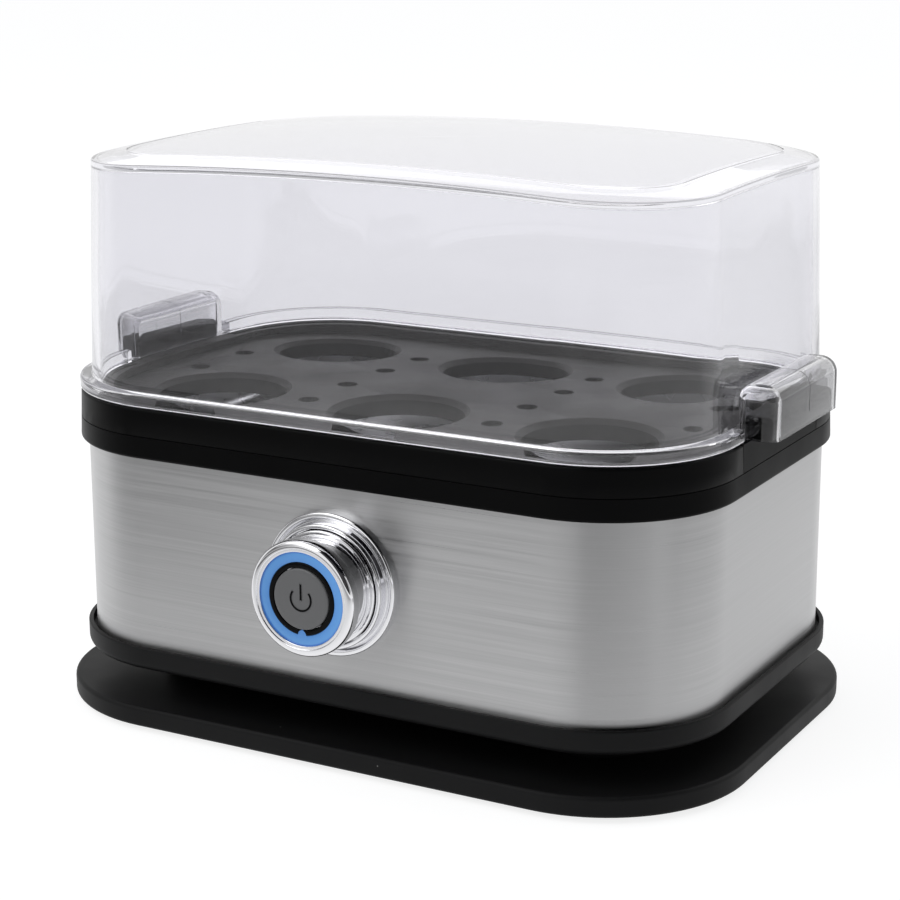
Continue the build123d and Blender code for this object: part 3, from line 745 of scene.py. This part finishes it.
def at_left_end(mesh):
    """Copy of a right-end form, turned half a turn about the body's middle."""
    copy = mesh.copy()
    middle = Matrix.Translation((0, middle_y, 0))
    copy.transform(middle @ Matrix.Rotation(math.pi, 4, "Z") @ middle.inverted())
    return copy


def block(low, high):
    """Closed box between two corners."""
    low, high = Vector(low), Vector(high)
    place = Matrix.Translation((high + low) / 2) @ Matrix.Diagonal((*(high - low), 1))
    made = bmesh.new()
    bmesh.ops.create_cube(made, size=1.0)
    bmesh.ops.transform(made, matrix=place, verts=made.verts)
    return plain_mesh("block", made, turn_outwards=False)


def make_lid():
    """Lid with its flange cut away at each end for a hollow handle."""
    gap_under = 0.001
    gap_reach = 0.01
    hollow_under = 0.002
    half = panel_length / 2
    gap = block(
        (half_length - lid_foot_inset, middle_y - half, lid_low.z - gap_under),
        (half_length + gap_reach, middle_y + half, lid_low.z + flange_thickness + foot_fillet),
    )
    reach = handle_length / 2
    handle = handle_solid(0, lid_low.z, handle_end_round, reach)
    hollow_round = handle_end_round - handle_wall / 2
    hollow = handle_solid(handle_wall, lid_low.z - hollow_under, hollow_round, reach - handle_wall)
    line = mould_line()
    shell = combined("lid_shell", lid_shell(), cut=[gap, at_left_end(gap)])
    shell = combined("lid_shell", shell, [handle, at_left_end(handle)], [hollow, at_left_end(hollow)])
    mesh = combined("clear_lid", shell, cut=[line, at_left_end(line)])
    piece = link("clear_lid", smooth(mesh, 25))
    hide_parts("lid")
    dress(piece, "lid", "clear_plastic", clear)


# Knob
def make_bezel():
    """Bezel: polished lip, valley, raised ring, and the hub behind."""
    back = front_face - bezel_high.y
    bore = 0.00706
    hub = 0.0105
    outside = 0.0202
    lip_inner = 0.0188
    lip_front = 0.0026
    valley_outer = 0.018
    valley = 0.0015
    ring_outer = 0.0175
    ring_inner = 0.0163
    ring_front = 0.0052
    plate = 0.001
    section = rounded([
        (bore, back, 0),
        (hub, back, 0),
        (hub, 0.0, 0),
        (outside, 0.0, 0),
        (outside, lip_front, 0.0008),
        (lip_inner, lip_front, 0.0005),
        (valley_outer, valley, 0.0004),
        (ring_outer, valley, 0.0002),
        (ring_outer, ring_front, 0.0006),
        (ring_inner, ring_front, 0.0003),
        (ring_inner, plate, 0),
        (bore, plate, 0),
    ], 5)
    piece = link("bezel_ring", smooth(turned("bezel_ring", section)))
    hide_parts("knob_bezel")
    dress(piece, "housing", "chrome", chrome)


def make_knob():
    """Knob: spun side, stepped rim, face pocket and hollow shaft."""
    front = front_face - knob_low.y
    rim = 0.0161
    rim_ease = 0.0006
    face_rim = 0.0139
    face_rim_foot = 0.0138
    base = 0.016
    side = 0.0148
    inside = 0.0129
    shaft = 0.007
    shaft_bore = 0.0047
    shaft_back = -0.014
    base_back = 0.0013
    base_front = 0.0059
    web_back = front - 0.0082
    button_seat = front - 0.0062
    rim_step = front - 0.0046
    rim_back = front - 0.0038
    ring_seat = front - 0.0034
    face_lip = front - 0.0003
    section = rounded([
        (inside, base_back, 0.0002),
        (base, base_back, 0.0003),
        (base, base_front, 0.0006),
        (side, base_front, 0.0002),
        (side, rim_step, 0),
        (rim - rim_ease, rim_step, 0.0003),
        (rim, rim_back, 0.0003),
        (rim, front, 0.0017),
        (face_rim, front, 0.0002),
        (face_rim_foot, face_lip, 0),
        (face_radius, face_lip, 0.0002),
        (face_radius, ring_seat, 0),
        (button_hole, ring_seat, 0),
        (button_hole, button_seat, 0),
        (shaft_bore, button_seat, 0),
        (shaft_bore, shaft_back, 0),
        (shaft, shaft_back, 0),
        (shaft, web_back, 0),
        (inside, web_back, 0),
    ], 5)

    def on_side(start, end):
        """1, the spun finish, for a face that runs along the side."""
        hair = 1e-6
        return int(all(abs(radius - side) < hair for radius in (start[0], end[0])))

    piece = link("knob_shell", smooth(turned("knob_shell", section, on_side)))
    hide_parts("knob_body")
    dress(piece, "knob", "chrome", chrome, knob_side)


def make_face_rings():
    """Blue light ring with its pointer, and the black ring inside it."""
    overrun = 0.001
    low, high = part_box("light_ring")
    back = front_face - high.y
    front = front_face - low.y
    ring = rounded([
        (light_ring_inner, back, 0),
        (face_radius, back, 0),
        (face_radius, front, 0.0001),
        (light_ring_inner, front, 0.0001),
    ], 2)
    pointer = rod_mesh("pointer", pointer_radius, back, front, pointer_rise)
    lit = link("lit_ring", smooth(combined("lit_ring", turned("lit_ring", ring), [pointer])))
    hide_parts("light_ring")
    dress(lit, "knob", "light", blue_light)
    front = front_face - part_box("knob_inner_ring")[0].y
    ring = rounded([
        (button_hole, back, 0),
        (dark_ring_outer, back, 0),
        (dark_ring_outer, front, 0.00025),
        (button_hole, front, 0.00025),
    ], 3)
    gap = rod_mesh("gap", pointer_radius + pointer_gap, back - overrun, front + overrun, pointer_rise)
    dark = link("dark_ring", smooth(combined("dark_ring", turned("dark_ring", ring), cut=[gap])))
    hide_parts("knob_inner_ring")
    dress(dark, "knob", "gloss_black", gloss_black)


def rod_mesh(name, radius, back, front, up):
    """Round bar along the knob's axis, between two distances out of the front face."""
    place = Matrix.Translation((0, front_face - (front + back) / 2, knob_level + up))
    place = place @ Matrix.Rotation(math.pi / 2, 4, "X")
    made = bmesh.new()
    bmesh.ops.create_cone(
        made, cap_ends=True, segments=rod_steps, radius1=radius, radius2=radius,
        depth=front - back, matrix=place,
    )
    return plain_mesh(name, made)


def make_button():
    """Button cap with its stem, and the power mark let into its face."""
    low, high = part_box("power_button")
    front = front_face - low.y
    back = front_face - high.y
    axis_gap = 0.00001
    stem = 0.0042
    cap_radius = 0.0085
    cap_back = front - 0.004
    face_edge = 0.007
    face_dip = front - 0.00012
    section = rounded([
        (axis_gap, back, 0),
        (stem, back, 0.0003),
        (stem, cap_back, 0.0003),
        (cap_radius, cap_back, 0.0002),
        (cap_radius, front, 0.0005),
        (face_edge, front, 0.0004),
        (axis_gap, face_dip, 0),
    ], 4)
    cap = link("button_cap", smooth(turned("button_cap", section)))
    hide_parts("power_button")
    dress(cap, "button", "button_plastic", button_grey)
    mark = link("power_mark", power_mark(front))
    dress(mark, "button", "gloss_black", gloss_black)


def power_mark(front):
    """Power mark: an open ring and a stroke, lying on the button's face."""
    ring_radius = 0.00315
    ring_steps = 40
    open_angle = 48
    stroke_top = 0.0044
    stroke_foot = -0.0004
    half_width = 0.00026
    thick = 0.00012
    sunk = thick * 0.4
    level = front_face - front + sunk
    lines = [
        arc((0, 0), ring_radius, 90 + open_angle, 450 - open_angle, ring_steps),
        [(0, stroke_top), (0, stroke_foot)],
    ]
    made = bmesh.new()
    for line in lines:
        sides = []
        for i, point in enumerate(line):
            here = Vector(point)
            ahead = Vector(line[min(i + 1, len(line) - 1)]) - Vector(line[max(i - 1, 0)])
            aside = Vector((-ahead.y, ahead.x)).normalized() * half_width
            sides.append((here + aside, here - aside))
        loop = [one for one, two in sides]
        loop += cap_arc(sides[-1])
        loop += [two for one, two in reversed(sides)]
        loop += cap_arc(sides[0][::-1])
        face = made.faces.new([made.verts.new((at.x, level, knob_level + at.y)) for at in loop])
        raised = bmesh.ops.extrude_face_region(made, geom=[face])
        moved = [part for part in raised["geom"] if isinstance(part, bmesh.types.BMVert)]
        bmesh.ops.translate(made, verts=moved, vec=(0, -thick, 0))
    bmesh.ops.remove_doubles(made, verts=made.verts, dist=same_point)
    return smooth(plain_mesh("power_mark", made))


def cap_arc(pair):
    """Points of a half circle that closes a stroke, from one side of it to the other."""
    steps = 8
    one, two = pair
    middle = (one + two) / 2
    points = []
    for step in range(1, steps):
        points.append(middle + Matrix.Rotation(math.pi * step / steps, 2) @ (one - middle))
    return points


# Body
def make_sleeve():
    """Steel wrap, with the knob's hole behind the bezel."""
    low, high = sleeve_low.z, sleeve_high.z
    cut_reach = 0.002
    section = [(0, low), (0, high), (-sleeve_wall, high), (-sleeve_wall, low)]
    hole = rod_mesh("hole", knob_hole, -cut_reach, cut_reach, 0)
    mesh = combined("brushed_sleeve", moulding("brushed_sleeve", section, steel), cut=[hole])
    piece = link("brushed_sleeve", smooth(mesh))
    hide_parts("steel_sleeve")
    dress(piece, "housing", "brushed_steel", steel)


def blacken_grips(tray):
    """Give the tray's grips, outside the steel wrap, the band's black."""
    tray.data.materials.append(black_band)
    for face in tray.data.polygons:
        face.material_index = int(abs(face.center.x) > half_length)


make_lid()
make_bezel()
make_knob()
make_face_rings()
make_button()
make_sleeve()

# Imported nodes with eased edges: piece, bevel width, body, slot and finish
eased = {
    "base_plate": ("foot_plate", 0.00012, "housing", "black_plastic", black_base),
    "inner_housing": ("body_tub", 0.0002, "housing", "black_plastic", black_base),
    "lower_collar": ("band_lower", 0.00012, "housing", "black_plastic", black_band),
    "upper_collar": ("band_upper", 0.00012, "housing", "black_plastic", black_band),
    "egg_tray": ("seat_tray", 0.0003, "tray", "tray_plastic", tray_plastic),
    "water_basin": ("steel_dish", 0.0002, "housing", "basin_steel", dish_steel),
    "rubber_feet": ("foot_pads", 0.0, "housing", "rubber", rubber),
    "cord_gland": ("lead_gland", 0.0002, "housing", "rubber", rubber),
}
for node, (name, bevel, body, slot, material) in eased.items():
    piece = dress(refined(node, name, bevel), body, slot, material)
    if node == "egg_tray":
        blacken_grips(piece)

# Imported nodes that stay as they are, and their finishes
bare = {
    "base_screws": zinc, "collar_screws": zinc, "board_screws": zinc, "basin_seal": silicone,
    "spreader_plate": aluminium, "heating_element": sheath, "thermostat": aluminium,
    "thermal_fuse": aluminium, "bezel_nut": brass, "switch_plunger": part_black,
    "push_switch": part_black, "turn_sensor": part_blue, "control_board": board_green,
    "relay": part_blue, "buzzer": part_black, "terminal_block": part_white,
}
for node, material in bare.items():
    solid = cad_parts[node]
    if solid.material_slots:
        solid.material_slots[0].material = material
    else:
        solid.data.materials.append(material)


# Stage
def studio_floor():
    """Pale floor that looks white to camera and mirrors and keeps a soft shadow."""
    mesh = bpy.data.meshes.new("floor")
    reach = 6.0
    lighting_grey = (0.8, 0.8, 0.8, 1)
    seen_grey = (0.35, 0.35, 0.35, 1)
    seen_glow = 0.82
    corners = [(-reach, -reach, 0), (reach, -reach, 0), (reach, reach, 0), (-reach, reach, 0)]
    mesh.from_pydata(corners, [], [(0, 1, 2, 3)])
    floor = link("floor", mesh)
    material = bpy.data.materials.new("pale floor")
    material.use_nodes = True
    tree = material.node_tree
    tree.nodes.clear()
    plain = add_node(tree, "ShaderNodeBsdfDiffuse", {"Color": lighting_grey})
    soft = add_node(tree, "ShaderNodeBsdfDiffuse", {"Color": seen_grey})
    white = add_node(tree, "ShaderNodeEmission", {"Strength": seen_glow})
    pale = add_node(tree, "ShaderNodeAddShader", {0: soft.outputs[0], 1: white.outputs[0]})
    seen_or_lighting(tree, "ShaderNodeOutputMaterial", pale, plain)
    mesh.materials.append(material)


def seen_or_lighting(tree, output, seen, lighting):
    """Show one shader to the camera, to mirrors and through glass, and let another light the object."""
    ray = add_node(tree, "ShaderNodeLightPath")
    share = ray.outputs["Is Camera Ray"]
    for name in ("Is Glossy Ray", "Is Transmission Ray"):
        both = {0: share, 1: ray.outputs[name]}
        share = add_node(tree, "ShaderNodeMath", both, operation="MAXIMUM").outputs[0]
    mix = add_node(tree, "ShaderNodeMixShader", {0: share, 1: lighting.outputs[0], 2: seen.outputs[0]})
    add_node(tree, output, {"Surface": mix.outputs[0]})


def studio_world():
    """White surroundings for camera, mirrors and glass, and dimmer ones that light the object."""
    world = bpy.data.worlds.new("studio")
    bpy.context.scene.world = world
    world.use_nodes = True
    tree = world.node_tree
    tree.nodes.clear()
    seen = add_node(tree, "ShaderNodeBackground", {"Color": (1, 1, 1, 1), "Strength": 1.0})
    lit = add_node(tree, "ShaderNodeBackground", {"Color": (0.95, 0.97, 1, 1), "Strength": 0.5})
    seen_or_lighting(tree, "ShaderNodeOutputWorld", seen, lit)


def around(azimuth, elevation, distance):
    """Place seen from the object at an angle to the right of its front and above the table."""
    turn, lift = math.radians(azimuth), math.radians(elevation)
    flat = distance * math.cos(lift)
    return Vector((flat * math.sin(turn), -flat * math.cos(turn), middle_height + distance * math.sin(lift)))


def facing(place, target):
    """Matrix that puts a lamp or card at a place, facing a point."""
    aim = Vector(target) - Vector(place)
    return Matrix.Translation(place) @ aim.to_track_quat("-Z", "Y").to_matrix().to_4x4()


def softbox(name, place, target, width, height, power):
    """Large soft lamp aimed at a point."""
    data = bpy.data.lights.new(name, "AREA")
    data.shape = "RECTANGLE"
    data.size = width
    data.size_y = height
    data.energy = power
    lamp = link(name, data)
    lamp.matrix_world = facing(place, target)


def dark_card(name, place, target, width, height, density, softness=0.25):
    """Dark card with soft edges that only mirrors see, as a studio stands round shiny metal."""
    made = bmesh.new()
    bmesh.ops.create_grid(made, x_segments=1, y_segments=1, size=0.5)
    card = link(name, plain_mesh(name, made, turn_outwards=False))
    card.matrix_world = facing(place, target) @ Matrix.Diagonal((width, height, 1, 1))
    finish = Finish(name, (0.01, 0.01, 0.012), 1.0)
    finish.set(Specular_IOR_Level=0.0)
    split = finish.add("ShaderNodeSeparateXYZ", {"Vector": finish.place})
    shares = []
    for side in "XY":
        away = finish.maths("ABSOLUTE", split.outputs[side])
        shares.append(finish.spread(away, 1.0, 0.0, 0.5 - softness, 0.5))
    finish.feed("Alpha", finish.spread(finish.maths("MULTIPLY", *shares), 0, density, 0, 1))
    card.data.materials.append(finish.material)
    for kind in ("camera", "diffuse", "transmission", "volume_scatter", "shadow"):
        setattr(card, "visible_" + kind, False)


def floor_card(name, x, y, lift, width, depth, density):
    """Dark card that lies just over the floor."""
    dark_card(name, (x, y, lift), (x, y, -1), width, depth, density)


def photograph_camera():
    """Camera at the photograph's place and angle."""
    flat = math.cos(camera_elevation)
    back = Vector((
        math.sin(camera_azimuth) * flat,
        -math.cos(camera_azimuth) * flat,
        math.sin(camera_elevation),
    ))
    right = Vector((math.cos(camera_azimuth), math.sin(camera_azimuth), 0))
    up = back.cross(right)
    across = right * math.cos(camera_roll) + up * math.sin(camera_roll)
    upright = up * math.cos(camera_roll) - right * math.sin(camera_roll)
    data = bpy.data.cameras.new("camera")
    data.lens = camera_lens
    data.sensor_width = 36
    data.clip_start = 0.01
    camera = link("camera", data)
    turn = Matrix((across, upright, back)).transposed().to_4x4()
    camera.matrix_world = Matrix.Translation(camera_place) @ turn
    bpy.context.scene.camera = camera


studio_floor()
studio_world()
middle = (0, 0, middle_height)

# Lamps: place, aim, width, height and watts
softbox("key", around(-41, 43, 1.45), middle, 1.3, 1.3, 7)
softbox("side", around(150, 32, 1.4), middle, 0.6, 0.6, 1.4)
softbox("back", around(-150.5, 26.7, 1.5), (-0.02, -0.05, 0.165), 1.3, 0.4, 0.95)

# Dark cards that the steel and the chrome mirror: place, aim, width, height and density
dark_card("front_card", around(37, 32, 2.2), middle, 2.9, 2.8, 0.95, 0.04)
dark_card("near_card", (-0.4, -0.34, 0.2), (-0.1, -0.05, 0.1), 0.5, 0.5, 0.6)
dark_card("high_card", around(66, 58, 2.2), middle, 2.6, 2.2, 1.0, 0.04)
dark_card("side_card", around(72, 16, 1.8), middle, 1.9, 1.1, 0.6)
dark_card("left_card", around(-62, 20, 2.2), middle, 1.4, 1.6, 0.6)
dark_card("top_card", around(-110, 66, 2.4), middle, 2.6, 2.6, 0.55)
floor_card("floor_card", 0, -0.7, 0.002, 1.6, 1.2, 0.6)
floor_card("floor_left_card", -0.55, -0.6, 0.003, 1.0, 1.0, 0.75)
floor_card("floor_right_card", 0.55, 0.1, 0.004, 0.7, 0.6, 0.5)
floor_card("floor_back_card", 0.4, 0.7, 0.005, 0.8, 0.9, 0.4)

photograph_camera()
bpy.context.scene.view_settings.view_transform = "Standard"
